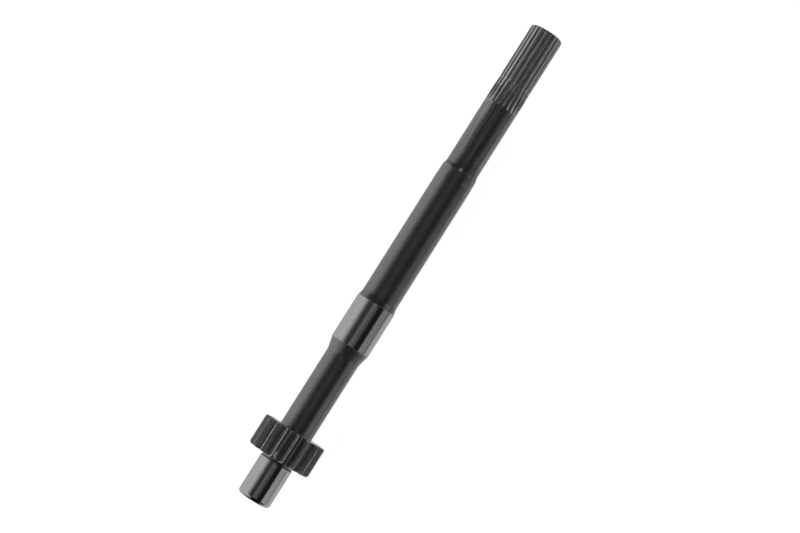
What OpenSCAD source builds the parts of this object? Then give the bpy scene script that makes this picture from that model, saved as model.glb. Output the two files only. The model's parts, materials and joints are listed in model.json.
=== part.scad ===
// Input shaft of a gearbox, in millimetres: end journal, spur pinion, main journal, body and splined end.
// The real shaft is one bar of steel: turned, hobbed at the pinion and at the spline, hardened and ground.
// The axis lies along X, from the pinion to the spline. The origin is the middle of the main journal.
// A tooth space of the pinion faces straight up, and another straight down.

/* [Pinion end] */
// Diameter of the ground end journal
end_journal_d = 29.2; // [24:0.1:36]
// Length from the pinion-end face to the pinion, grinding groove included
end_journal_len = 38.2; // [20:0.1:60]
// Chamfer on the rim of the pinion-end face
end_chamfer = 2; // [0.4:0.1:3]
// Width of the grinding groove beside the pinion
groove_w = 2.9; // [1:0.1:4]
// Depth of the grinding groove
groove_depth = 0.8; // [0.2:0.05:1.5]

/* [Pinion] */
// Number of teeth, in fours so that a space faces up, down and to each side
pinion_teeth = 16; // [12:4:20]
// Module of the teeth
pinion_module = 3.175; // [3.1:0.025:4]
// Pressure angle
pinion_pressure_angle = 20; // [14.5:0.5:25]
// Height of a tooth above the pitch circle
pinion_addendum = 2.54; // [2:0.02:3]
// Depth of a tooth below the pitch circle
pinion_dedendum = 3.175; // [2.5:0.025:3.6]
// Radius in the corners of a tooth space
pinion_root_fillet = 0.9; // [0.3:0.1:1.2]
// Width of the teeth along the shaft
pinion_w = 26.5; // [15:0.1:45]
// Chamfer on the tooth tips at the end journal
pinion_entry_chamfer = 1.6; // [0.4:0.1:2.4]
// Chamfer on the tooth tips at the neck
pinion_back_chamfer = 0.8; // [0.3:0.1:2.4]

/* [Neck behind the pinion] */
// Diameter of the neck
pinion_neck_d = 29; // [24:0.1:31.5]
// Length of the neck, from the pinion to the taper
pinion_neck_len = 71.4; // [30:0.1:120]
// Radius where the neck meets the pinion
pinion_neck_fillet = 1.6; // [0.4:0.1:3]
// Length of the taper from the neck up to the main journal
neck_taper_len = 10; // [4:0.5:20]

/* [Main journal] */
// Diameter of the ground main journal
journal_d = 34.4; // [32.5:0.1:40]
// Length of the main journal
journal_len = 40.5; // [20:0.5:60]
// Chamfer at each end of the main journal
journal_chamfer = 0.4; // [0.1:0.05:0.8]
// Length of the taper from the main journal down to the body
journal_taper_len = 5; // [2:0.5:15]

/* [Body] */
// Diameter of the body
body_d = 31.6; // [30:0.1:32.3]
// Length of the body, its thinned end included
body_len = 121.3; // [60:0.1:200]
// Diameter of the body's thinned end
body_end_d = 31.2; // [29.4:0.1:31.5]
// Length of the body's thinned end
body_end_len = 9.3; // [4:0.1:20]
// Length over which the body thins
body_end_taper_len = 3; // [0.5:0.1:3.5]
// Length of the step from the body down to the spline neck
step_len = 3.1; // [1.5:0.1:8]

/* [Splined end] */
// Diameter of the neck before the spline
spline_neck_d = 29; // [28.9:0.05:29.6]
// Length of the neck, the run-out of the spline included
spline_neck_len = 72.9; // [40:0.1:120]
// Number of spline teeth, in fours
spline_teeth = 20; // [16:4:28]
// Outside diameter of the spline
spline_d = 28.8; // [27.4:0.05:28.9]
// Length of the spline at its full depth
spline_len = 58.4; // [40:0.1:90]
// Turn of the spline against the pinion, in steps that keep the shaft the same when mirrored
spline_turn = 4.5; // [0:2.25:15.75]
// Distance from the start of the full depth to the start of the ground tooth lands
land_lag = 1; // [0.4:0.1:3]
// Pressure angle of the spline
spline_pressure_angle = 30; // [20:0.5:37.5]
// Depth of a spline tooth
spline_depth = 1.35; // [0.9:0.05:1.6]
// Radius of the hob, which the run-out of each space follows
hob_r = 70; // [30:1:100]
// Chamfer on the rim of the spline-end face
spline_chamfer = 1.9; // [0.6:0.1:3]
// Distance from the spline-end face to the middle of the ring groove
ring_groove_pos = 50.8; // [20:0.1:56]
// Width of the ring groove across the spline
ring_groove_w = 2; // [1:0.1:3]
// Depth of the ring groove
ring_groove_depth = 0.3; // [0.1:0.05:0.8]

/* [Lathe centres] */
// Mouth diameter of the 60 degree centre hole in each end face
centre_d = 10; // [6:0.5:14]
// Diameter of the pilot hole behind each centre
pilot_d = 4; // [2:0.5:5]
// Depth of the pilot hole, from the end face
pilot_depth = 9; // [8:0.5:16]

/* [Hidden] */
$fn = 96;

// Full angle of a lathe centre, points on a rounded corner and points down one tooth flank
centre_angle = 60;
fillet_steps = 6;
pinion_flank_steps = 8;
spline_flank_steps = 3;

// How far a cutter reaches past what it cuts
overcut = 1;

// Places along the shaft, measured from the pinion-end face
pinion_start = end_journal_len;
pinion_end = pinion_start + pinion_w;
taper_start = pinion_end + pinion_neck_len;
journal_start = taper_start + neck_taper_len;
journal_end = journal_start + journal_len;
body_start = journal_end + journal_taper_len;
body_end = body_start + body_len;
spline_neck_start = body_end + step_len;
spline_start = spline_neck_start + spline_neck_len;
land_start = spline_start + land_lag;
shaft_len = spline_start + spline_len;
ring_groove_mid = shaft_len - ring_groove_pos;
origin_along = (journal_start + journal_end) / 2;

// Radii of the pinion
pinion_pitch_r = pinion_teeth * pinion_module / 2;
pinion_base_r = pinion_pitch_r * cos(pinion_pressure_angle);
pinion_tip_r = pinion_pitch_r + pinion_addendum;
pinion_root_r = pinion_pitch_r - pinion_dedendum;

// Radii of the spline: its outside diameter is one module more than its pitch diameter
spline_pitch_r = spline_d / 2 * spline_teeth / (spline_teeth + 1);
spline_base_r = spline_pitch_r * cos(spline_pressure_angle);
spline_root_r = spline_d / 2 - spline_depth;
spline_top_r = spline_neck_d / 2 + overcut;

// Angle through which the hob's path climbs from the bottom of a space to clear of the neck
hob_climb = acos(1 - (spline_top_r - spline_root_r) / hob_r);

// Point at radius r and angle a
function polar(r, a) = [r * cos(a), r * sin(a)];

// Angle that an involute of the given base circle has turned through at radius r
function involute(base_r, r) =
    let (pressure = acos(base_r / max(r, base_r)))
    tan(pressure) * 180 / PI - pressure;

// Half the angle of a tooth space at radius r, where space and tooth are equal on the pitch circle
function half_space(teeth, base_r, pitch_r, r) =
    90 / teeth - involute(base_r, pitch_r) + involute(base_r, r);

// One flank of a tooth space, from radius low_r out to radius high_r
function flank(teeth, base_r, pitch_r, low_r, high_r, steps) = [
    for (i = [0 : steps])
        let (r = low_r + (high_r - low_r) * i / steps)
        polar(r, half_space(teeth, base_r, pitch_r, r))
];

// The same points on the other side of the space, in the opposite order
function across(points) = [for (i = [len(points) - 1 : -1 : 0]) [points[i].x, -points[i].y]];

// Corner of a pinion space: an arc that touches the root circle and the radial foot of the flank
function pinion_corner() =
    let (
        foot = half_space(pinion_teeth, pinion_base_r, pinion_pitch_r, pinion_base_r),
        arc_r = min(pinion_root_fillet, pinion_base_r - pinion_root_r),
        centre_r = pinion_root_r + arc_r,
        lean = asin(arc_r / centre_r),
        centre = polar(centre_r, foot - lean)
    )
    [for (i = [0 : fillet_steps])
        centre + polar(arc_r, foot - lean + 180 - (90 - lean) * i / fillet_steps)];

// Rounded inside corner of the turned profile, from the pinion's face onto the neck
function neck_corner(fillet) = [
    for (i = [0 : fillet_steps])
        [pinion_neck_d / 2 + fillet, pinion_end + fillet] + polar(fillet, 180 + 90 * (1 - i / fillet_steps))
];

// Half outline of the turned bar: distance from the axis, then distance along it
function turned_profile() = concat(
    [
        [0, 0],
        [end_journal_d / 2 - end_chamfer, 0],
        [end_journal_d / 2, end_chamfer],
        [end_journal_d / 2, pinion_start - groove_w],
        [end_journal_d / 2 - groove_depth, pinion_start - groove_w + groove_depth],
        [end_journal_d / 2 - groove_depth, pinion_start],
        [pinion_tip_r - pinion_entry_chamfer, pinion_start],
        [pinion_tip_r, pinion_start + pinion_entry_chamfer],
        [pinion_tip_r, pinion_end - pinion_back_chamfer],
        [pinion_tip_r - pinion_back_chamfer, pinion_end]
    ],
    neck_corner(pinion_neck_fillet),
    [
        [pinion_neck_d / 2, taper_start],
        [journal_d / 2 - journal_chamfer, journal_start],
        [journal_d / 2, journal_start + journal_chamfer],
        [journal_d / 2, journal_end - journal_chamfer],
        [journal_d / 2 - journal_chamfer, journal_end],
        [body_d / 2, body_start],
        [body_d / 2, body_end - body_end_len],
        [body_end_d / 2, body_end - body_end_len + body_end_taper_len],
        [body_end_d / 2, body_end],
        [spline_neck_d / 2, spline_neck_start],
        [spline_neck_d / 2, land_start - (spline_neck_d - spline_d) / 2],
        [spline_d / 2, land_start],
        [spline_d / 2, ring_groove_mid - ring_groove_w / 2],
        [spline_d / 2 - ring_groove_depth, ring_groove_mid - ring_groove_w / 2 + ring_groove_depth],
        [spline_d / 2 - ring_groove_depth, ring_groove_mid + ring_groove_w / 2 - ring_groove_depth],
        [spline_d / 2, ring_groove_mid + ring_groove_w / 2],
        [spline_d / 2, shaft_len - spline_chamfer],
        [spline_d / 2 - spline_chamfer, shaft_len],
        [0, shaft_len]
    ]
);

// Outline of one pinion tooth space, centred on the first axis
module pinion_space_outline() {
    side = concat(
        pinion_corner(),
        flank(pinion_teeth, pinion_base_r, pinion_pitch_r, pinion_base_r, pinion_tip_r + overcut,
              pinion_flank_steps)
    );
    polygon(concat(side, across(side)));
}

// The tooth spaces that the hob leaves in the pinion
module pinion_spaces() {
    for (i = [0 : pinion_teeth - 1])
        rotate([0, 0, 360 / pinion_teeth * i])
            translate([0, 0, pinion_start - overcut])
                linear_extrude(pinion_w + 2 * overcut) pinion_space_outline();
}

// Both flanks of one spline space, from its flat root out past the neck
function spline_space_points() =
    let (
        side = flank(spline_teeth, spline_base_r, spline_pitch_r, spline_root_r, spline_top_r,
                     spline_flank_steps)
    )
    concat(side, across(side));

// Run-out of one spline space: its outline swept round the hob's own axis, up and out of the neck
module spline_run_out() {
    hob_axis = spline_root_r + hob_r;
    translate([hob_axis, 0, spline_start])
        rotate([-90, 0, 180])
            rotate_extrude(angle = hob_climb)
                polygon([for (p = spline_space_points()) [hob_axis - p.x, p.y]]);
}

// The spaces of the spline, straight to the end face, with their run-outs
module spline_spaces() {
    for (i = [0 : spline_teeth - 1])
        rotate([0, 0, spline_turn + 360 / spline_teeth * i]) {
            translate([0, 0, spline_start])
                linear_extrude(spline_len + overcut) polygon(spline_space_points());
            spline_run_out();
        }
}

// Lathe centre drilled into an end face that looks along -Z: pilot hole and cone
module lathe_centre() {
    cone_depth = centre_d / 2 / tan(centre_angle / 2);
    rotate_extrude()
        polygon([
            [0, -overcut],
            [centre_d / 2 + overcut * tan(centre_angle / 2), -overcut],
            [pilot_d / 2, cone_depth - pilot_d / 2 / tan(centre_angle / 2)],
            [pilot_d / 2, pilot_depth],
            [0, pilot_depth + pilot_d / 2 / tan(centre_angle)]
        ]);
}

// The shaft: turned bar with its tooth spaces and its two lathe centres cut away
module input_shaft() {
    color([0.17, 0.17, 0.16])
        rotate([0, 90, 0])
            translate([0, 0, -origin_along])
                difference() {
                    rotate_extrude() polygon(turned_profile());
                    pinion_spaces();
                    spline_spaces();
                    lathe_centre();
                    translate([0, 0, shaft_len]) mirror([0, 0, 1]) lathe_centre();
                }
}

input_shaft();
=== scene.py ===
import json
import math

import bmesh
import bpy
from mathutils import Matrix, Vector


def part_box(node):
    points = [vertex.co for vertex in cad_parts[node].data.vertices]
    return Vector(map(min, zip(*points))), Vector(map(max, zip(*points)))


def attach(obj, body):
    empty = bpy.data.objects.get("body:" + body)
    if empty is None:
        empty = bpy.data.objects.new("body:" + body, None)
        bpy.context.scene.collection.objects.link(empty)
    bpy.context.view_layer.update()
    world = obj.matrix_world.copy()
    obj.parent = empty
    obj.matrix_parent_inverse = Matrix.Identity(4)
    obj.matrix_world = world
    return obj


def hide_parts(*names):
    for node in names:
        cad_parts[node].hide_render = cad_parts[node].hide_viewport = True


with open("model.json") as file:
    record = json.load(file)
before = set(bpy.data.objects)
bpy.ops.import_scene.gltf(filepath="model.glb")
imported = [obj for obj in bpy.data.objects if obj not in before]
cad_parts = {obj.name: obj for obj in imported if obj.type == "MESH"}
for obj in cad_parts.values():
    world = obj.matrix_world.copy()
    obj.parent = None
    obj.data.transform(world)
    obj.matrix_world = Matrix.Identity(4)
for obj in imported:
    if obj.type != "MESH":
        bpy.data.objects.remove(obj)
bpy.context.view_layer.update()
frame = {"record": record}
scene = bpy.context.scene
scene.view_settings.view_transform = "Standard"


# Heat-treated alloy steel, left as it came out of the oil quench on all turned surfaces. A thin dark oxide
# film with a trace of oil: nearly black overhead, with a grey sheen painted into its colour toward grazing
# angles. The turning marks and the scratches on the neck are finer than a pixel, so both are drawn coarser
# than they are.
def linear(hex_colour):
    """Linear RGBA of an sRGB hex colour."""
    parts = [int(hex_colour[i:i + 2], 16) / 255 for i in (1, 3, 5)]
    return [c / 12.92 if c <= 0.04045 else ((c + 0.055) / 1.055) ** 2.4 for c in parts] + [1]


def add(tree, kind, inputs=None, stops=(), **settings):
    """Adds one node with its properties, its filled or linked inputs, and a ramp's stops (hex or grey)."""
    node = tree.nodes.new(kind)
    for name, value in settings.items():
        setattr(node, name, value)
    for name, value in (inputs or {}).items():
        if isinstance(name, str):
            socket = [s for s in node.inputs if s.enabled and s.name == name][0]
        else:
            socket = node.inputs[name]
        if isinstance(value, bpy.types.NodeSocket):
            tree.links.new(value, socket)
        else:
            socket.default_value = value
    if stops:
        elements = node.color_ramp.elements
        while len(elements) < len(stops):
            elements.new(0.5)
        for element, (position, shade) in zip(elements, stops):
            element.position = position
            element.color = linear(shade) if isinstance(shade, str) else (shade, shade, shade, 1)
    return node


def emptied(owner):
    """Node tree of a material or world, without the nodes it starts with."""
    owner.use_nodes = True
    owner.node_tree.nodes.clear()
    return owner.node_tree


mm = 0.001

dark_steel = bpy.data.materials.new("quenched_dark_steel")
tree = emptied(dark_steel)
place = add(tree, "ShaderNodeTexCoord").outputs["Object"]
along = add(tree, "ShaderNodeSeparateXYZ", {0: place}).outputs["X"]
blotch_size = 9 * mm
blotches = add(tree, "ShaderNodeTexNoise", {
    "Vector": place, "Scale": 1 / blotch_size, "Detail": 5.0, "Roughness": 0.6}).outputs["Fac"]
# Painted sheen: Layer Weight Facing turns the film's colour from near black to a lighter grey toward grazing
# angles
facing = add(tree, "ShaderNodeLayerWeight", {"Blend": 0.5}).outputs["Facing"]
film = add(tree, "ShaderNodeValToRGB", {"Fac": facing}, ((0.04, "#625e5a"), (0.24, "#8b8b89")))
uneven = add(tree, "ShaderNodeMapRange", {
    "Value": blotches, "From Min": 0.3, "From Max": 0.7, "To Min": 0.94, "To Max": 1.06})
# The film is darker on the upper taper, the step and the neck behind the spline, and lighter over the
# spline, where this lightens the painted shade of its roots. Each has its middle along the axis, its half
# width in full and in all, and its shade.
upper_taper = (22.7 * mm, 2.5 * mm, 4.5 * mm, 0.82)
step_down = (148.8 * mm, 1.0 * mm, 1.9 * mm, 0.6)
thin_neck = (179 * mm, 27 * mm, 30 * mm, 0.88)
spline_spaces = (256 * mm, 26 * mm, 30 * mm, 1.4)
depth = uneven.outputs[0]
for middle, full, faded, shade in (upper_taper, step_down, thin_neck, spline_spaces):
    past_middle = add(tree, "ShaderNodeMath", {0: along, 1: middle}, operation="SUBTRACT")
    from_middle = add(tree, "ShaderNodeMath", {0: past_middle.outputs[0]}, operation="ABSOLUTE")
    tone_here = add(tree, "ShaderNodeMapRange", {
        "Value": from_middle.outputs[0], "From Min": full, "From Max": faded,
        "To Min": shade, "To Max": 1.0})
    tone_so_far = add(tree, "ShaderNodeMath", {0: depth, 1: tone_here.outputs[0]}, operation="MULTIPLY")
    depth = tone_so_far.outputs[0]
tone = add(tree, "ShaderNodeVectorMath", {0: film.outputs["Color"], 1: depth}, operation="MULTIPLY")
wear = add(tree, "ShaderNodeAttribute", attribute_name="wear").outputs["Fac"]
patchy = add(tree, "ShaderNodeMapRange", {
    "Value": blotches, "From Min": 0.3, "From Max": 0.6, "To Min": 0.6, "To Max": 1.0})
rubbed = add(tree, "ShaderNodeMath", {0: wear, 1: patchy.outputs[0]}, operation="MULTIPLY")
# Scratches that a hub leaves as it slides over the neck
scratch_width = 0.9 * mm
scratch_length = 45 * mm
first_scratch = 153 * mm
all_scratched = 160 * mm
drawn_out = add(tree, "ShaderNodeVectorMath", {
    0: place, 1: (scratch_length, scratch_width, scratch_width)}, operation="DIVIDE")
scratches = add(tree, "ShaderNodeTexNoise", {"Vector": drawn_out.outputs[0], "Scale": 1.0, "Detail": 1.0})
scratched = add(tree, "ShaderNodeMapRange", {
    "Value": scratches.outputs["Fac"], "From Min": 0.52, "From Max": 0.72, "To Max": 0.34})
under_hub = add(tree, "ShaderNodeMapRange", {
    "Value": along, "From Min": first_scratch, "From Max": all_scratched})
slid = add(tree, "ShaderNodeMath", {0: scratched.outputs[0], 1: under_hub.outputs[0]}, operation="MULTIPLY")
bare = add(tree, "ShaderNodeMath", {
    0: rubbed.outputs[0], 1: slid.outputs[0]}, operation="MAXIMUM").outputs[0]
shown = add(tree, "ShaderNodeMix", {
    "Factor": bare, "A": tone.outputs[0], "B": linear("#d8d6d2")}, data_type="RGBA")
metal = add(tree, "ShaderNodeMapRange", {"Value": bare, "To Min": 0.45, "To Max": 1.0})
gloss = add(tree, "ShaderNodeMapRange", {
    "Value": blotches, "From Min": 0.3, "From Max": 0.7, "To Min": 0.19, "To Max": 0.25})
turning_pitch = 0.4 * mm
turning_length = 25 * mm
turning_depth = 0.01 * mm
turned_round = add(tree, "ShaderNodeVectorMath", {
    0: place, 1: (turning_pitch, turning_length, turning_length)}, operation="DIVIDE")
turning = add(tree, "ShaderNodeTexNoise", {"Vector": turned_round.outputs[0], "Scale": 1.0, "Detail": 1.0})
grooved = add(tree, "ShaderNodeBump", {
    "Height": turning.outputs["Fac"], "Strength": 0.12, "Distance": turning_depth})
shine = add(tree, "ShaderNodeBsdfPrincipled", {
    "Base Color": shown.outputs[2], "Metallic": metal.outputs[0], "Roughness": gloss.outputs[0],
    "Specular IOR Level": 0.2, "Specular Tint": linear("#c4c4c4"), "Normal": grooved.outputs[0]})
add(tree, "ShaderNodeOutputMaterial", {"Surface": shine.outputs["BSDF"]})

# The same film over the hob's feed marks on the flanks of the pinion: more matt, so the flanks stay an even
# dark grey. Every edge was deburred after the quench and shines bare, and one tooth has been knocked.
# The feed marks are finer than a pixel, so they are drawn coarser than they are.
hobbed_steel = bpy.data.materials.new("hobbed_dark_steel")
tree = emptied(hobbed_steel)
place = add(tree, "ShaderNodeTexCoord").outputs["Object"]
feed_mark = 3 * mm
feed_marks = add(tree, "ShaderNodeTexNoise", {
    "Vector": place, "Scale": 1 / feed_mark, "Detail": 4.0, "Roughness": 0.6}).outputs["Fac"]
film = add(tree, "ShaderNodeValToRGB", {"Fac": feed_marks}, ((0.35, "#979492"), (0.65, "#a5a29f")))
wear = add(tree, "ShaderNodeAttribute", attribute_name="wear").outputs["Fac"]
patchy = add(tree, "ShaderNodeMapRange", {
    "Value": feed_marks, "From Min": 0.3, "From Max": 0.6, "To Min": 0.5, "To Max": 1.0})
rubbed = add(tree, "ShaderNodeMath", {0: wear, 1: patchy.outputs[0]}, operation="MULTIPLY")
knock_place = (-124 * mm, 3.7 * mm, 26.5 * mm)
knock_size = (4 * mm, 1.6 * mm, 3 * mm)
crumb_size = 1.3 * mm
dent_depth = 1.5 * mm
from_knock = add(tree, "ShaderNodeVectorMath", {0: place, 1: knock_place}, operation="SUBTRACT")
squeezed = add(tree, "ShaderNodeVectorMath", {0: from_knock.outputs[0], 1: knock_size}, operation="DIVIDE")
knock_far = add(tree, "ShaderNodeVectorMath", {0: squeezed.outputs[0]}, operation="LENGTH").outputs["Value"]
crumbs = add(tree, "ShaderNodeTexNoise", {
    "Vector": place, "Scale": 1 / crumb_size, "Detail": 3.0}).outputs["Fac"]
crumbled = add(tree, "ShaderNodeMath", {0: knock_far, 1: crumbs}, operation="MULTIPLY")
knock = add(tree, "ShaderNodeMapRange", {"Value": crumbled.outputs[0], "From Min": 0.48, "From Max": 0.42})
bare = add(tree, "ShaderNodeMath", {
    0: rubbed.outputs[0], 1: knock.outputs[0]}, operation="MAXIMUM").outputs[0]
shown = add(tree, "ShaderNodeMix", {
    "Factor": bare, "A": film.outputs["Color"], "B": linear("#dcdad6")}, data_type="RGBA")
metal = add(tree, "ShaderNodeMapRange", {"Value": bare, "To Min": 0.25, "To Max": 1.0})
gloss = add(tree, "ShaderNodeMapRange", {"Value": bare, "To Min": 0.4, "To Max": 0.3})
dented = add(tree, "ShaderNodeBump", {
    "Height": crumbs, "Strength": knock.outputs[0], "Distance": dent_depth})
shine = add(tree, "ShaderNodeBsdfPrincipled", {
    "Base Color": shown.outputs[2], "Metallic": metal.outputs[0], "Roughness": gloss.outputs[0],
    "Specular IOR Level": 0.2, "Specular Tint": linear("#c4c4c4"), "Normal": dented.outputs[0]})
add(tree, "ShaderNodeOutputMaterial", {"Surface": shine.outputs["BSDF"]})

# Scale of the quench on the tips of the pinion's teeth, which no tool touched again: the same matt film,
# thicker and nearly black, so each tip is a dark band between two bright edges.
scaled_steel = hobbed_steel.copy()
scaled_steel.name = "scaled_dark_steel"
thick_film = scaled_steel.node_tree.nodes[film.name].color_ramp.elements
thick_film[0].color = linear("#4c4a48")
thick_film[1].color = linear("#575553")

# The same steel ground to size on the two journals: the oxide is gone and the wheel leaves fine rings,
# which stretch every reflection along the shaft and keep it sharp round it.
# The rings are finer than a pixel, so they are drawn coarser than they are.
ground_steel = bpy.data.materials.new("ground_steel")
tree = emptied(ground_steel)
place = add(tree, "ShaderNodeTexCoord").outputs["Object"]
ring_width = 0.7 * mm
ring_length = 4 * mm
ring_depth = 0.01 * mm
wheel_marks = add(tree, "ShaderNodeVectorMath", {
    0: place, 1: (ring_width, ring_length, ring_length)}, operation="DIVIDE")
rings = add(tree, "ShaderNodeTexNoise", {
    "Vector": wheel_marks.outputs[0], "Scale": 1.0, "Detail": 2.0}).outputs["Fac"]
tone = add(tree, "ShaderNodeValToRGB", {"Fac": rings}, ((0.3, "#9b9c9b"), (0.7, "#a5a6a5")))
gloss = add(tree, "ShaderNodeMapRange", {
    "Value": rings, "From Min": 0.3, "From Max": 0.7, "To Min": 0.14, "To Max": 0.21})
around = add(tree, "ShaderNodeTangent", direction_type="RADIAL", axis="X")
grooved = add(tree, "ShaderNodeBump", {"Height": rings, "Strength": 0.15, "Distance": ring_depth})
shine = add(tree, "ShaderNodeBsdfPrincipled", {
    "Base Color": tone.outputs["Color"], "Metallic": 1.0, "Roughness": gloss.outputs[0], "Anisotropic": 0.7,
    "Anisotropic Rotation": 0.25, "Tangent": around.outputs[0], "Specular Tint": linear("#dcdcdc"),
    "Normal": grooved.outputs[0]})
add(tree, "ShaderNodeOutputMaterial", {"Surface": shine.outputs["BSDF"]})

# Bare steel of the splines, cut after the heat treatment: duller than the ground journals and as neutral,
# with the tool's marks running along each space, drawn coarser than they are.
cut_steel = bpy.data.materials.new("cut_bare_steel")
tree = emptied(cut_steel)
place = add(tree, "ShaderNodeTexCoord").outputs["Object"]
mark_width = 0.5 * mm
mark_length = 8 * mm
mark_depth = 0.02 * mm
tool_marks = add(tree, "ShaderNodeVectorMath", {
    0: place, 1: (mark_length, mark_width, mark_width)}, operation="DIVIDE")
marks = add(tree, "ShaderNodeTexNoise", {
    "Vector": tool_marks.outputs[0], "Scale": 1.0, "Detail": 2.0}).outputs["Fac"]
tone = add(tree, "ShaderNodeValToRGB", {"Fac": marks}, ((0.3, "#a6a6a5"), (0.7, "#c8c8c6")))
gloss = add(tree, "ShaderNodeMapRange", {
    "Value": marks, "From Min": 0.3, "From Max": 0.7, "To Min": 0.24, "To Max": 0.31})
grooved = add(tree, "ShaderNodeBump", {"Height": marks, "Strength": 0.2, "Distance": mark_depth})
shine = add(tree, "ShaderNodeBsdfPrincipled", {
    "Base Color": tone.outputs["Color"], "Metallic": 0.95, "Roughness": gloss.outputs[0],
    "Specular IOR Level": 0.2, "Specular Tint": linear("#d0d0d0"), "Normal": grooved.outputs[0]})
add(tree, "ShaderNodeOutputMaterial", {"Surface": shine.outputs["BSDF"]})

# Pinion end of the shaft, from the end face to the middle of the main journal: turned from the bar,
# hobbed with sixteen stub teeth, then ground on the end journal and on the main journal.
# One tooth space with half a tooth on each side is drawn here and copied round the axis.
mount_sizes = {mount["name"]: mount["dims"] for mount in frame["record"]["mounts"]}
shaft_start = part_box("input_shaft")[0].x
shaft_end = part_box("input_shaft")[1].x
ring_points = 480
# Rubbing of the edge on one side of each tooth against the other, and the face held flat beside a corner
trailing_wear = 0.25
corner_hold = 0.25 * mm
# Finish numbers of a face, which the copy tree turns into steels
dark, ground, cut, hobbed, scaled = range(5)

pinion_teeth = 16
pinion_module = 3.175 * mm
pinion_pressure = math.radians(20)
pinion_addendum = 2.54 * mm
pinion_dedendum = 3.175 * mm
pinion_root_fillet = 0.9 * mm
pinion_edge = 0.4 * mm
pinion_start = shaft_start + 38.2 * mm
pinion_end = pinion_start + 26.5 * mm
entry_chamfer = 1.6 * mm
back_chamfer = 0.8 * mm
end_journal_r = mount_sizes["end_journal"]["r_mm"] * mm
end_chamfer = 2 * mm
groove_w = 2.9 * mm
groove_depth = 0.8 * mm
pinion_neck_r = 14.5 * mm
pinion_neck_fillet = 1.6 * mm
taper_start = pinion_end + 71.4 * mm
journal_r = mount_sizes["main_journal"]["r_mm"] * mm
journal_chamfer = 0.4 * mm
journal_half = mount_sizes["main_journal"]["length_mm"] / 2 * mm + journal_chamfer
centre_r = 5 * mm
pilot_r = 2 * mm
pilot_depth = 9 * mm
cone_slope = math.tan(math.radians(30))

pinion_pitch_r = pinion_teeth * pinion_module / 2
pinion_base_r = pinion_pitch_r * math.cos(pinion_pressure)
pinion_tip_r = pinion_pitch_r + pinion_addendum
pinion_root_r = pinion_pitch_r - pinion_dedendum


def involute(base_r, r):
    """Angle that an involute of a base circle has turned through at radius r."""
    pressure = math.acos(min(1, base_r / r))
    return math.tan(pressure) - pressure


def half_space(teeth, base_r, pitch_r, r):
    """Half the angle of a tooth space at radius r."""
    return math.pi / 2 / teeth - involute(base_r, pitch_r) + involute(base_r, r)


def polar(r, angle):
    """Point of a cross-section, from the middle of the shaft."""
    return Vector((r * math.cos(angle), r * math.sin(angle)))


def mix(a, b, share):
    """Value or point part of the way from one to another."""
    return a + (b - a) * share


def circle(r, teeth):
    """Half a pitch of a plain turned section, from the middle of a space to the middle of a tooth."""
    steps = ring_points // teeth // 2
    return [polar(r, math.pi / teeth * i / steps) for i in range(steps + 1)]


def inset(outline, depth, teeth):
    """The outline moved into the metal by a depth, for a broken edge at the end of the teeth."""
    moved = []
    for i, point in enumerate(outline):
        if i == 0:
            inward = polar(-1, 0)
        elif i == len(outline) - 1:
            inward = polar(-1, math.pi / teeth)
        else:
            along = (outline[i + 1] - outline[i - 1]).normalized()
            inward = Vector((-along.y, along.x))
        moved.append(point + depth * inward)
    return moved


def broken_edge(start, corner, end, steps):
    """Points of a rounded edge that leaves one face at start and meets the next at end."""
    shares = [i / steps for i in range(steps + 1)]
    return [mix(mix(start, corner, share), mix(corner, end, share), share) for share in shares]


def pinion_outline(tip_r):
    """Half a pitch of the pinion: root, corner, involute flank, broken edge and tip land."""
    foot = half_space(pinion_teeth, pinion_base_r, pinion_pitch_r, pinion_base_r)
    corner_r = pinion_root_r + pinion_root_fillet
    lean = math.asin(pinion_root_fillet / corner_r)
    corner = polar(corner_r, foot - lean)
    points = [polar(pinion_root_r, 0), polar(pinion_root_r, (foot - lean) / 2)]
    for i in range(4):
        turn = foot - lean + math.pi - (math.pi / 2 - lean) * i / 3
        points.append(corner + polar(pinion_root_fillet, turn))
    edge_r = tip_r - pinion_edge
    for share in (0, 0.5, 0.9):
        r = mix(pinion_base_r, edge_r, share)
        points.append(polar(r, half_space(pinion_teeth, pinion_base_r, pinion_pitch_r, r)))
    lip = half_space(pinion_teeth, pinion_base_r, pinion_pitch_r, tip_r)
    land = lip + pinion_edge / tip_r
    edge_foot = polar(edge_r, half_space(pinion_teeth, pinion_base_r, pinion_pitch_r, edge_r))
    points += broken_edge(edge_foot, polar(tip_r, lip), polar(tip_r, land), 4)
    points.append(polar(tip_r, mix(land, math.pi / pinion_teeth, 0.3)))
    points.append(polar(tip_r, math.pi / pinion_teeth))
    return points


def rounded(profile):
    """Stations along a turned profile, from rows of (place, radius, corner rounding, finish from here on).

    A rounded corner has a station close by on each side, which keeps its shading off the faces it joins."""
    stations = []
    for i, (x, r, rounding, finish_here) in enumerate(profile):
        here = Vector((x, r))
        if rounding == 0 or i == 0 or i == len(profile) - 1:
            stations.append((x, r, finish_here))
            continue
        before = Vector(profile[i - 1][:2]) - here
        after = Vector(profile[i + 1][:2]) - here
        half = before.angle(after) / 2
        reach = rounding / math.tan(half)
        start = here + before.normalized() * reach
        end = here + after.normalized() * reach
        finish_before = profile[i - 1][3]
        hold = min(reach, corner_hold)
        lead = here + before.normalized() * min(reach + hold, before.length * 0.9)
        stations.append((lead.x, lead.y, finish_before))
        steps = 6 if rounding > mm else 3
        centre = here + (before.normalized() + after.normalized()).normalized() * rounding / math.sin(half)
        for k in range(steps + 1):
            share = k / steps
            chord = mix(start, end, share)
            point = centre + (chord - centre).normalized() * rounding
            stations.append((point.x, point.y, finish_before if share < 0.5 else finish_here))
        tail = here + after.normalized() * min(reach + hold, after.length * 0.9)
        stations.append((tail.x, tail.y, finish_here))
    return stations


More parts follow.
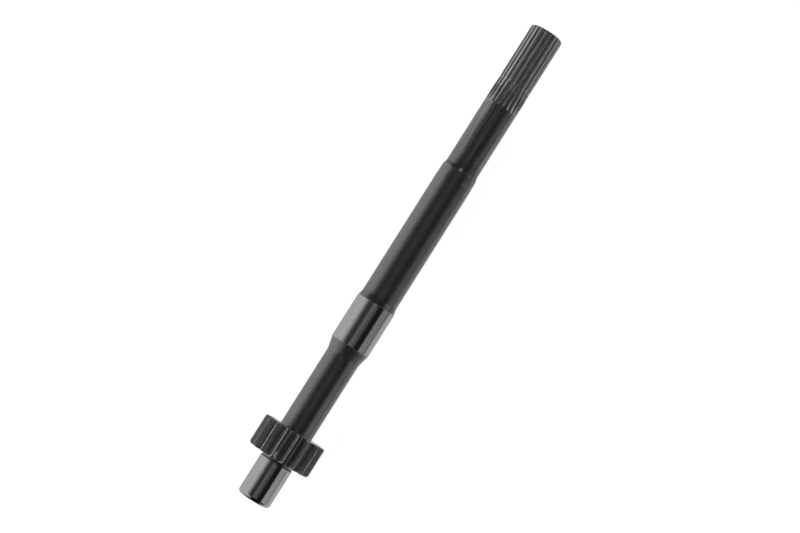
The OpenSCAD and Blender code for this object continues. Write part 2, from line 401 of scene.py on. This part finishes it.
def sector(name, rows, flank_point, land_point, turn=0.0):
    """One pitch as an open mesh, from rows of (place along the axis, half outline, finishes, worn points).

    The three finishes are those of root, flank and land. Flank and land start at the points given."""
    mesh = bpy.data.meshes.new(name)
    verts = []
    wear = []
    for x, outline, _, worn in rows:
        half_wear = [1.0 if i in worn else 0.0 for i in range(len(outline))]
        wear += half_wear[:0:-1] + [trailing_wear * share for share in half_wear]
        whole = [Vector((p.x, -p.y)) for p in outline[:0:-1]] + list(outline)
        verts += [Matrix.Rotation(turn, 3, "X") @ Vector((x, p.y, p.x)) for p in whole]
    width = 2 * len(rows[0][1]) - 1
    middle = width // 2
    faces = []
    finish = []
    for k in range(len(rows) - 1):
        for j in range(width - 1):
            a = k * width + j
            faces.append((a, a + width, a + width + 1, a + 1))
            from_middle = min(abs(j - middle), abs(j + 1 - middle))
            finish.append(rows[k][2][(from_middle >= flank_point) + (from_middle >= land_point)])
    mesh.from_pydata(verts, [], faces)
    mesh.attributes.new("finish", "INT", "FACE").data.foreach_set("value", finish)
    mesh.attributes.new("wear", "FLOAT", "POINT").data.foreach_set("value", wear)
    return bpy.data.objects.new(name, mesh)


def turned(profile, teeth):
    """Rows of a plain turned stretch, with as many points round it as the teeth beside it have."""
    return [(x, circle(r, teeth), (finish,) * 3, ()) for x, r, finish in rounded(profile)]


def tooth_row(x, tip_r, worn, inward=0.0):
    """Row of the pinion's teeth, with the outline moved inward where the edge of a face is broken."""
    return x, inset(pinion_outline(tip_r), inward, pinion_teeth), (dark, hobbed, scaled), worn


# Rounding of small corners, and the radius up to which the pinion's faces are plain rings
fine = 0.12 * mm
face_r = 18.5 * mm
rows = turned([
    (shaft_start + pilot_depth + pilot_r * cone_slope, 0, 0, dark),
    (shaft_start + pilot_depth, pilot_r, 0, dark),
    (shaft_start + (centre_r - pilot_r) / cone_slope, pilot_r, fine, dark),
    (shaft_start, centre_r, fine, dark),
    (shaft_start, end_journal_r - end_chamfer, 2.6 * mm, ground),
    (shaft_start + end_chamfer, end_journal_r, 2.6 * mm, ground),
    (pinion_start - groove_w, end_journal_r, fine, dark),
    (pinion_start - groove_w + groove_depth, end_journal_r - groove_depth, 0.3 * mm, dark),
    (pinion_start, end_journal_r - groove_depth, 0.4 * mm, dark),
    (pinion_start, face_r, 0, dark),
], pinion_teeth)
# Points of the tooth outline that are rubbed bare: along a tooth, and round its faces at each end
face_edge = 0.35 * mm
tip_edge = 0.3 * mm
along_edge = (11, 12, 13)
root_to_edge = range(13)
flank_to_edge = range(6, 13)
for share, inward, worn in (
        (0, 2, ()), (0, 1, root_to_edge), (0.3, 0.3, root_to_edge), (1, 0, root_to_edge),
        (1.6, 0, along_edge)):
    tip = pinion_tip_r - entry_chamfer + share * face_edge
    rows.append(tooth_row(pinion_start + share * face_edge, tip, worn, inward * face_edge))
for start, steps in (
        (pinion_start + entry_chamfer, ((-1, 1), (0, 0.25), (1, 0), (2, 0))),
        (pinion_end - back_chamfer, ((-2, 0), (-1, 0), (0, 0.25)))):
    for step, drop in steps:
        rows.append(tooth_row(start + step * tip_edge, pinion_tip_r - drop * tip_edge, along_edge))
for share, inward, worn in (
        (1.6, 0, along_edge), (1, 0, flank_to_edge), (0.3, 0.3, flank_to_edge), (0, 1, ()),
        (0, 2, ())):
    tip = pinion_tip_r - back_chamfer + share * face_edge
    rows.append(tooth_row(pinion_end - share * face_edge, tip, worn, inward * face_edge))
rows += turned([
    (pinion_end, face_r, 0, dark),
    (pinion_end, pinion_neck_r, pinion_neck_fillet, dark),
    (taper_start, pinion_neck_r, 8 * mm, dark),
    (-journal_half, journal_r - journal_chamfer, 0.5 * mm, dark),
    (-journal_half + journal_chamfer, journal_r, 0.2 * mm, ground),
    (0, journal_r, 0, ground),
], pinion_teeth)
pinion_half = sector("pinion_half", rows, flank_point=5, land_point=10)

# Tree that copies one pitch round the shaft's axis, as the hob goes from tooth to tooth, welds the copies
# into one skin, and gives each face the steel that its finish number stands for.
copy_round = bpy.data.node_groups.new("Copy round the axis", "GeometryNodeTree")
copy_round.is_modifier = True
sockets = copy_round.interface
sockets.new_socket("Pitch", in_out="INPUT", socket_type="NodeSocketGeometry")
teeth_socket = sockets.new_socket("Teeth", in_out="INPUT", socket_type="NodeSocketInt")
weld_socket = sockets.new_socket("Weld distance", in_out="INPUT", socket_type="NodeSocketFloat")
steels = {
    "Dark steel": dark_steel, "Ground steel": ground_steel, "Cut steel": cut_steel,
    "Hobbed steel": hobbed_steel, "Scaled steel": scaled_steel}
steel_sockets = {
    name: sockets.new_socket(name, in_out="INPUT", socket_type="NodeSocketMaterial") for name in steels}
sockets.new_socket("Shaft", in_out="OUTPUT", socket_type="NodeSocketGeometry")
given = add(copy_round, "NodeGroupInput").outputs
line = add(copy_round, "GeometryNodeMeshLine", {"Count": given["Teeth"], "Offset": (0, 0, 0)})
turn_each = add(copy_round, "ShaderNodeMath", {0: 2 * math.pi, 1: given["Teeth"]}, operation="DIVIDE")
index = add(copy_round, "GeometryNodeInputIndex")
angle = add(copy_round, "ShaderNodeMath", {
    0: index.outputs[0], 1: turn_each.outputs[0]}, operation="MULTIPLY")
about_x = add(copy_round, "ShaderNodeCombineXYZ", {"X": angle.outputs[0]})
copies = add(copy_round, "GeometryNodeInstanceOnPoints", {
    "Points": line.outputs["Mesh"], "Instance": given["Pitch"], "Rotation": about_x.outputs[0]})
real = add(copy_round, "GeometryNodeRealizeInstances", {"Geometry": copies.outputs["Instances"]})
welded = add(copy_round, "GeometryNodeMergeByDistance", {
    "Geometry": real.outputs["Geometry"], "Distance": given["Weld distance"]})
smooth = add(copy_round, "GeometryNodeSetShadeSmooth", {"Geometry": welded.outputs["Geometry"]})
finish = add(copy_round, "GeometryNodeInputNamedAttribute", {"Name": "finish"}, data_type="INT")
finished = add(copy_round, "GeometryNodeSetMaterial", {
    "Geometry": smooth.outputs["Geometry"], "Material": given["Dark steel"]})
for number, name in (
        (ground, "Ground steel"), (cut, "Cut steel"), (hobbed, "Hobbed steel"), (scaled, "Scaled steel")):
    chosen = add(copy_round, "FunctionNodeCompare", {
        "A": finish.outputs["Attribute"], "B": number}, data_type="INT", operation="EQUAL")
    finished = add(copy_round, "GeometryNodeSetMaterial", {
        "Geometry": finished.outputs["Geometry"], "Selection": chosen.outputs[0], "Material": given[name]})
add(copy_round, "NodeGroupOutput", {"Shaft": finished.outputs["Geometry"]})
weld_distance = 0.002 * mm


def copied_round(pitch, teeth):
    """Plain mesh of a pitch copied round the axis."""
    scene.collection.objects.link(pitch)
    modifier = pitch.modifiers.new("copies", "NODES")
    modifier.node_group = copy_round
    modifier[teeth_socket.identifier] = teeth
    modifier[weld_socket.identifier] = weld_distance
    for name, steel in steels.items():
        modifier[steel_sockets[name].identifier] = steel
    seen = pitch.evaluated_get(bpy.context.evaluated_depsgraph_get())
    mesh = bpy.data.meshes.new_from_object(seen)
    pitch.modifiers.remove(modifier)
    bpy.data.objects.remove(pitch)
    return mesh


pinion_mesh = copied_round(pinion_half, pinion_teeth)

# Splined end of the same bar, from the middle of the main journal: taper, body, step, neck and twenty
# involute splines. The hob's own radius leaves a scalloped run-out where each space climbs out of the neck.
spline_teeth = 20
spline_pressure = math.radians(30)
spline_r = 14.4 * mm
spline_depth = 1.35 * mm
spline_turn = math.radians(4.5)
spline_edge = 0.16 * mm
edge_bulge = 0.001
spline_neck_r = 14.5 * mm
body_r = 15.8 * mm
body_end_r = 15.6 * mm
body_end_len = 9.3 * mm
body_taper_len = 3 * mm
body_start = journal_half + 5 * mm
body_end = body_start + 121.3 * mm
spline_neck_start = body_end + 3.1 * mm
spline_start = spline_neck_start + 72.9 * mm
land_start = spline_start + 1 * mm
hob_r = 70 * mm
clear_of_hob = 20 * mm
spline_chamfer = 1.9 * mm
ring_groove = shaft_end - 50.8 * mm
ring_groove_w = 2 * mm
ring_groove_depth = 0.3 * mm

spline_pitch_r = spline_r * spline_teeth / (spline_teeth + 1)
spline_base_r = spline_pitch_r * math.cos(spline_pressure)
spline_root_r = spline_r - spline_depth


def spline_outline(rise, tip_r):
    """Half a pitch of the spline: flat root lifted by the hob's rise, flank, broken edge and land.

    Where the root is lifted past the tip, the flank shrinks to nothing and the rest follows the circle."""
    root = polar(spline_root_r, half_space(spline_teeth, spline_base_r, spline_pitch_r, spline_root_r))
    top = polar(spline_r, half_space(spline_teeth, spline_base_r, spline_pitch_r, spline_r))
    slope = (top.y - root.y) / (top.x - root.x)
    foot = Vector((root.x + rise, root.y))
    if foot.length >= tip_r:
        floor_x = min(foot.x, tip_r)
        foot = Vector((floor_x, math.sqrt(max(0, tip_r ** 2 - floor_x ** 2))))
        lip = foot.copy()
    else:
        a = 1 + slope ** 2
        b = foot.x + slope * foot.y
        climb = (-b + math.sqrt(b ** 2 + a * (tip_r ** 2 - foot.length_squared))) / a
        lip = foot + Vector((climb, slope * climb))
    flank_len = (lip - foot).length
    edge = min(spline_edge, 0.4 * flank_len)
    lip_angle = math.atan2(lip.y, lip.x)
    tooth_middle = math.pi / spline_teeth
    land = min(lip_angle + edge / tip_r, tooth_middle)
    points = [Vector((foot.x, foot.y * share)) for share in (0, 0.5, 0.85)]
    points += [mix(foot, lip, share) for share in (0.12, 0.3, 0.5, 0.7)]
    edge_foot = mix(foot, lip, 1 - edge / flank_len) if flank_len else lip
    points.append(mix(foot, edge_foot, 0.88))
    points.append(edge_foot)
    bulge = edge_bulge * edge / spline_edge
    points.append(mix(edge_foot, polar(tip_r, land), 0.5) * (1 + bulge))
    points.append(polar(tip_r, land))
    points.append(polar(tip_r, mix(land, tooth_middle, 0.4)))
    points.append(polar(tip_r, tooth_middle))
    return points


rows = turned([
    (0, journal_r, 0, ground),
    (journal_half - journal_chamfer, journal_r, 0.2 * mm, dark),
    (journal_half, journal_r - journal_chamfer, 0.5 * mm, dark),
    (body_start, body_r, 5 * mm, dark),
    (body_end - body_end_len, body_r, 4 * mm, dark),
    (body_end - body_end_len + body_taper_len, body_end_r, 4 * mm, dark),
    (body_end, body_end_r, 0.8 * mm, dark),
    (spline_neck_start, spline_neck_r, 1.5 * mm, dark),
    (spline_start - clear_of_hob, spline_neck_r, 0, dark),
], spline_teeth)
root_x = spline_root_r * math.cos(half_space(spline_teeth, spline_base_r, spline_pitch_r, spline_root_r))
clear_rise = spline_neck_r - root_x
run_out = math.sqrt(hob_r ** 2 - (hob_r - clear_rise) ** 2)
run_out_steps = 16
# Finishes of root, flank and land, from the run-out to the rim of the end face. From the ring groove on,
# the roots get the dark film as painted shade in the recesses between the splines.
in_run_out = (cut, cut, dark)
# The dark roots from here on are painted shade
before_groove = (cut, cut, ground)
past_groove_shaded_roots = (dark, cut, cut)
at_rim_shaded_roots = (dark, cut, dark)
for i in range(run_out_steps + 1):
    back = run_out * (1 - i / run_out_steps)
    rise = hob_r - math.sqrt(hob_r ** 2 - back ** 2)
    rows.append((spline_start - back, spline_outline(rise, spline_neck_r), in_run_out, ()))
land_step = spline_neck_r - spline_r
groove_start = ring_groove - ring_groove_w / 2
groove_end = ring_groove + ring_groove_w / 2
groove_floor_r = spline_r - ring_groove_depth
beside_edge = 0.3 * mm
rim = shaft_end - spline_chamfer
spline_edge_point = 9
for x, tip, finishes in (
        (land_start - 2 * land_step, spline_neck_r, in_run_out),
        (land_start - land_step, spline_neck_r, before_groove),
        (land_start, spline_r, before_groove),
        (land_start + beside_edge, spline_r, before_groove),
        (groove_start - beside_edge, spline_r, before_groove),
        (groove_start, spline_r, before_groove),
        (groove_start + ring_groove_depth, groove_floor_r, past_groove_shaded_roots),
        (groove_end - ring_groove_depth, groove_floor_r, past_groove_shaded_roots),
        (groove_end, spline_r, past_groove_shaded_roots),
        (groove_end + beside_edge, spline_r, past_groove_shaded_roots),
        (rim - 0.6 * mm, spline_r, past_groove_shaded_roots),
        (rim - 0.25 * mm, spline_r, at_rim_shaded_roots),
        (rim + 0.1 * mm, spline_r - 0.14 * mm, at_rim_shaded_roots),
        (rim + 0.4 * mm, spline_r - 0.4 * mm, at_rim_shaded_roots)):
    rows.append((x, spline_outline(0, tip), finishes, (spline_edge_point,)))
for share in (0.395, 0.57):
    down = spline_chamfer * share
    rows.append((rim + down, spline_outline(0, spline_r - down), at_rim_shaded_roots, ()))
rows += turned([
    (shaft_end - beside_edge, spline_r - spline_chamfer + beside_edge, 0, dark),
    (shaft_end, spline_r - spline_chamfer, 0.2 * mm, dark),
    (shaft_end, centre_r, fine, dark),
    (shaft_end - (centre_r - pilot_r) / cone_slope, pilot_r, fine, dark),
    (shaft_end - pilot_depth, pilot_r, 0, dark),
    (shaft_end - pilot_depth - pilot_r * cone_slope, 0, 0, dark),
], spline_teeth)
spline_half = sector("spline_half", rows, flank_point=2, land_point=6, turn=spline_turn)
spline_mesh = copied_round(spline_half, spline_teeth)

# The two ends are one bar: they are welded at the middle of the main journal, on the ground band, into one
# closed skin whose faces point outwards.
whole = bmesh.new()
whole.from_mesh(pinion_mesh)
whole.from_mesh(spline_mesh)
bmesh.ops.remove_doubles(whole, verts=whole.verts, dist=weld_distance)
bmesh.ops.recalc_face_normals(whole, faces=whole.faces)
whole.to_mesh(pinion_mesh)
whole.free()
shaft = bpy.data.objects.new("shaft", pinion_mesh)
scene.collection.objects.link(shaft)
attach(shaft, "root")
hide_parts("input_shaft")

# White paper table under the shaft. The shaft lies on two pinion teeth and on the splined end, so the table
# slopes against the shaft's own axes by the angle between those two resting places. Where the steel mirrors
# the paper, the paper shows a painted shade: it glows dimmer far to the right and beyond the ends of the
# shaft.
tooth_edge_angle = half_space(pinion_teeth, pinion_base_r, pinion_pitch_r, pinion_tip_r)
rest_pinion = Vector((pinion_end - back_chamfer, 0, -pinion_tip_r * math.cos(tooth_edge_angle)))
land_edge_angle = half_space(spline_teeth, spline_base_r, spline_pitch_r, spline_r)
rest_spline = Vector((shaft_end - spline_chamfer, 0, -spline_r * math.cos(land_edge_angle)))
table_along = (rest_spline - rest_pinion).normalized()
table_across = Vector((0, 1, 0))
table_up = table_along.cross(table_across).normalized()
table_half = 6.0
table_mesh = bpy.data.meshes.new("table")
corners = [rest_pinion + table_half * (a * table_along + b * table_across)
           for a, b in ((-1, -1), (1, -1), (1, 1), (-1, 1))]
table_mesh.from_pydata(corners, [], [(0, 1, 2, 3)])
table = bpy.data.objects.new("table", table_mesh)
scene.collection.objects.link(table)
white_paper = bpy.data.materials.new("white_paper")
tree = emptied(white_paper)
path = add(tree, "ShaderNodeLightPath").outputs
spot = add(tree, "ShaderNodeSeparateXYZ", {0: add(tree, "ShaderNodeTexCoord").outputs["Object"]}).outputs
stretch_start = -0.2
stretch_end = 0.3
# Painted shade of the paper as the steel mirrors it: dimmer to the right by a profile along the shaft, and
# dark past its ends
along_table = add(tree, "ShaderNodeMapRange", {
    "Value": spot["X"], "From Min": stretch_start, "From Max": stretch_end})
stretch = add(tree, "ShaderNodeValToRGB", {"Fac": along_table.outputs[0]}, (
    (0.14, 0.3), (0.2, 0.75), (0.33, 0.75), (0.37, 0.42), (0.43, 0.42), (0.47, 0.85), (0.66, 0.85),
    (0.8, 0.65)))
dimmed_by = 0.5
rightward = add(tree, "ShaderNodeMath", {0: spot["Y"], 1: -1 / dimmed_by}, operation="MULTIPLY")
far_right = add(tree, "ShaderNodeMath", {
    0: rightward.outputs[0], 1: stretch.outputs["Color"]}, operation="MULTIPLY")
painted_dimming = add(tree, "ShaderNodeValToRGB", {"Fac": far_right.outputs[0]}, (
    (0.035, 1), (0.05, 0.95), (0.095, 0.85), (0.14, 0.7), (0.25, 0.45), (0.8, 0.12)))
before_shaft = add(tree, "ShaderNodeMath", {0: shaft_start, 1: spot["X"]}, operation="SUBTRACT")
after_shaft = add(tree, "ShaderNodeMath", {0: spot["X"], 1: shaft_end}, operation="SUBTRACT")
past_end = add(tree, "ShaderNodeMath", {
    0: before_shaft.outputs[0], 1: after_shaft.outputs[0]}, operation="MAXIMUM")
past_end = add(tree, "ShaderNodeMath", {0: past_end.outputs[0], 1: mm}, operation="MAXIMUM")
aside = add(tree, "ShaderNodeMath", {0: spot["Y"]}, operation="ABSOLUTE")
spread = add(tree, "ShaderNodeMath", {0: aside.outputs[0], 1: past_end.outputs[0]}, operation="DIVIDE")
end_spread = 0.3
side_spread = 0.9
end_level = 0.06
painted_dark_ends = add(tree, "ShaderNodeMapRange", {
    "Value": spread.outputs[0], "From Min": end_spread, "From Max": side_spread,
    "To Min": end_level, "To Max": 1.0})
paper = add(tree, "ShaderNodeBsdfDiffuse", {"Color": linear("#f0f0f0")})
paper_glow = 0.87
white = add(tree, "ShaderNodeEmission", {"Color": linear("#ffffff"), "Strength": paper_glow})
# Glow of the paper in reflections, dimmed by the painted shade above
mirrored_painted_shade = add(tree, "ShaderNodeEmission", {
    "Color": painted_dimming.outputs["Color"], "Strength": painted_dark_ends.outputs[0]})
seen = add(tree, "ShaderNodeAddShader", {0: white.outputs[0], 1: paper.outputs[0]})
mirror_or_glass = add(tree, "ShaderNodeMath", {
    0: path["Is Glossy Ray"], 1: path["Is Transmission Ray"]}, operation="MAXIMUM")
unseen = add(tree, "ShaderNodeMixShader", {
    "Fac": mirror_or_glass.outputs[0], 1: paper.outputs[0], 2: mirrored_painted_shade.outputs[0]})
sheet = add(tree, "ShaderNodeMixShader", {
    "Fac": path["Is Camera Ray"], 1: unseen.outputs[0], 2: seen.outputs[0]})
add(tree, "ShaderNodeOutputMaterial", {"Surface": sheet.outputs[0]})
table_mesh.materials.append(white_paper)

# Studio round the table: a pale wall on the left whose soft upper edge slopes down toward the splined end,
# cards with a hard upper edge on the right, dark ends, a faint strip overhead and one small lamp.
# Heights are shares of the way up. Ramps along the shaft start at the pinion's side and end at the spline's.
world = bpy.data.worlds.new("studio")
scene.world = world
tree = emptied(world)
direction = add(tree, "ShaderNodeTexCoord").outputs["Generated"]
toward = add(tree, "ShaderNodeSeparateXYZ", {0: direction}).outputs
height = add(tree, "ShaderNodeMath", {0: toward["Z"]}, operation="ARCSINE")
share_up = add(tree, "ShaderNodeMath", {
    0: height.outputs[0], 1: math.pi / 2}, operation="DIVIDE").outputs[0]
from_left = add(tree, "ShaderNodeMath", {0: toward["X"], 1: toward["Y"]}, operation="ARCTAN2")
turn_away = add(tree, "ShaderNodeMath", {0: from_left.outputs[0]}, operation="ABSOLUTE").outputs[0]
along_share = add(tree, "ShaderNodeMapRange", {
    "Value": toward["X"], "From Min": -1.0, "From Max": 1.0}).outputs[0]

wall_fades = math.radians(80)
wall_full = math.radians(55)
wall_blur = 16 / 90
left_share = add(tree, "ShaderNodeMapRange", {
    "Value": turn_away, "From Min": wall_fades, "From Max": wall_full}, interpolation_type="SMOOTHSTEP")
wall_top = add(tree, "ShaderNodeValToRGB", {"Fac": along_share}, (
    (0, 0.52), (0.28, 0.54), (0.45, 0.51), (0.485, 0.485), (0.515, 0.42), (0.55, 0.34), (0.65, 0.2),
    (0.75, 0), (1, 0)))
below_top = add(tree, "ShaderNodeMath", {0: wall_top.outputs["Color"], 1: share_up}, operation="SUBTRACT")
wall_edge = add(tree, "ShaderNodeMapRange", {
    "Value": below_top.outputs[0], "From Min": -wall_blur, "From Max": wall_blur},
    interpolation_type="SMOOTHSTEP")
left_wall = add(tree, "ShaderNodeMath", {
    0: wall_edge.outputs[0], 1: left_share.outputs[0]}, operation="MULTIPLY")

card_fades = math.radians(105)
card_full = math.radians(130)
card_top = 38.5 / 90
below_card_top = 36.5 / 90
right_share = add(tree, "ShaderNodeMapRange", {
    "Value": turn_away, "From Min": card_fades, "From Max": card_full}, interpolation_type="SMOOTHSTEP")
card_edge = add(tree, "ShaderNodeMapRange", {
    "Value": share_up, "From Min": card_top, "From Max": below_card_top})
card_level = add(tree, "ShaderNodeValToRGB", {"Fac": along_share}, (
    (0, 0.02), (0.3, 0.03), (0.42, 0.85), (0.46, 0.85), (0.487, 0.7), (0.5, 0.57), (0.513, 0.06),
    (0.56, 0.16), (0.65, 0.9), (0.77, 0.9), (0.8, 0.12), (1, 0.1)))
right_edge = add(tree, "ShaderNodeMath", {
    0: card_edge.outputs[0], 1: right_share.outputs[0]}, operation="MULTIPLY")
right_card = add(tree, "ShaderNodeMath", {
    0: right_edge.outputs[0], 1: card_level.outputs["Color"]}, operation="MULTIPLY")

over = add(tree, "ShaderNodeMath", {0: toward["Y"], 1: toward["Z"]}, operation="ARCTAN2")
over_share = add(tree, "ShaderNodeMapRange", {
    "Value": over.outputs[0], "From Min": -math.pi / 2, "From Max": math.pi / 2})
strip = add(tree, "ShaderNodeValToRGB", {"Fac": over_share.outputs[0]}, (
    (0, 0.02), (0.345, 0.02), (0.38, 0.06), (0.41, 0.16), (0.44, 0.19), (0.5, 0.28), (0.535, 0.31),
    (0.57, 0.29), (0.582, 0.1), (0.65, 0.08), (1, 0.06)))
strip_level = add(tree, "ShaderNodeValToRGB", {"Fac": along_share}, (
    (0, 0), (0.25, 0), (0.45, 0.7), (0.48, 0.85), (0.5, 1), (0.6, 1), (0.75, 0), (1, 0)))
overhead = add(tree, "ShaderNodeMath", {
    0: strip.outputs["Color"], 1: strip_level.outputs["Color"]}, operation="MULTIPLY")

lamp_height = math.radians(48.5)
lamp_aside = 0.02
lamp_rim = math.cos(math.radians(6.5))
lamp_core = math.cos(math.radians(5))
lamp_level = 5.5
to_lamp = (math.cos(lamp_height), lamp_aside, math.sin(lamp_height))
lamp_cosine = add(tree, "ShaderNodeVectorMath", {0: direction, 1: to_lamp}, operation="DOT_PRODUCT")
lamp_disc = add(tree, "ShaderNodeMapRange", {
    "Value": lamp_cosine.outputs["Value"], "From Min": lamp_rim, "From Max": lamp_core,
    "To Max": lamp_level})
light = left_wall
for part in (right_card.outputs[0], overhead.outputs[0], lamp_disc.outputs[0]):
    light = add(tree, "ShaderNodeMath", {0: light.outputs[0], 1: part}, operation="MAXIMUM")
sky = add(tree, "ShaderNodeBackground", {"Color": light.outputs[0], "Strength": 1.0})
add(tree, "ShaderNodeOutputWorld", {"Surface": sky.outputs[0]})

# Camera straight above the table, turned so that the shaft runs from lower left to upper right. Its place
# comes from the pixel that shows the shaft's origin and from the width of a pixel at the shaft.
image_w = 800
image_h = 533
pixels_to_lens = 2600
metres_per_pixel = 0.0008087
shaft_turn = math.radians(57.74)
origin_pixel = Vector((362.94, 325.5))
across_shaft = table_up.cross(table_along)
right = math.cos(shaft_turn) * table_along - math.sin(shaft_turn) * across_shaft
up = math.sin(shaft_turn) * table_along + math.cos(shaft_turn) * across_shaft
off_right = (origin_pixel.x - image_w / 2) * metres_per_pixel
off_up = -(origin_pixel.y - image_h / 2) * metres_per_pixel
distance = pixels_to_lens * metres_per_pixel
lens = bpy.data.cameras.new("camera")
lens.sensor_width = 36
lens.lens = pixels_to_lens / image_w * lens.sensor_width
lens.clip_end = 100
camera = bpy.data.objects.new("camera", lens)
scene.collection.objects.link(camera)
facing = Matrix((right, up, table_up)).transposed()
eye = distance * table_up - off_right * right - off_up * up
camera.matrix_world = Matrix.Translation(eye) @ facing.to_4x4()
scene.camera = camera
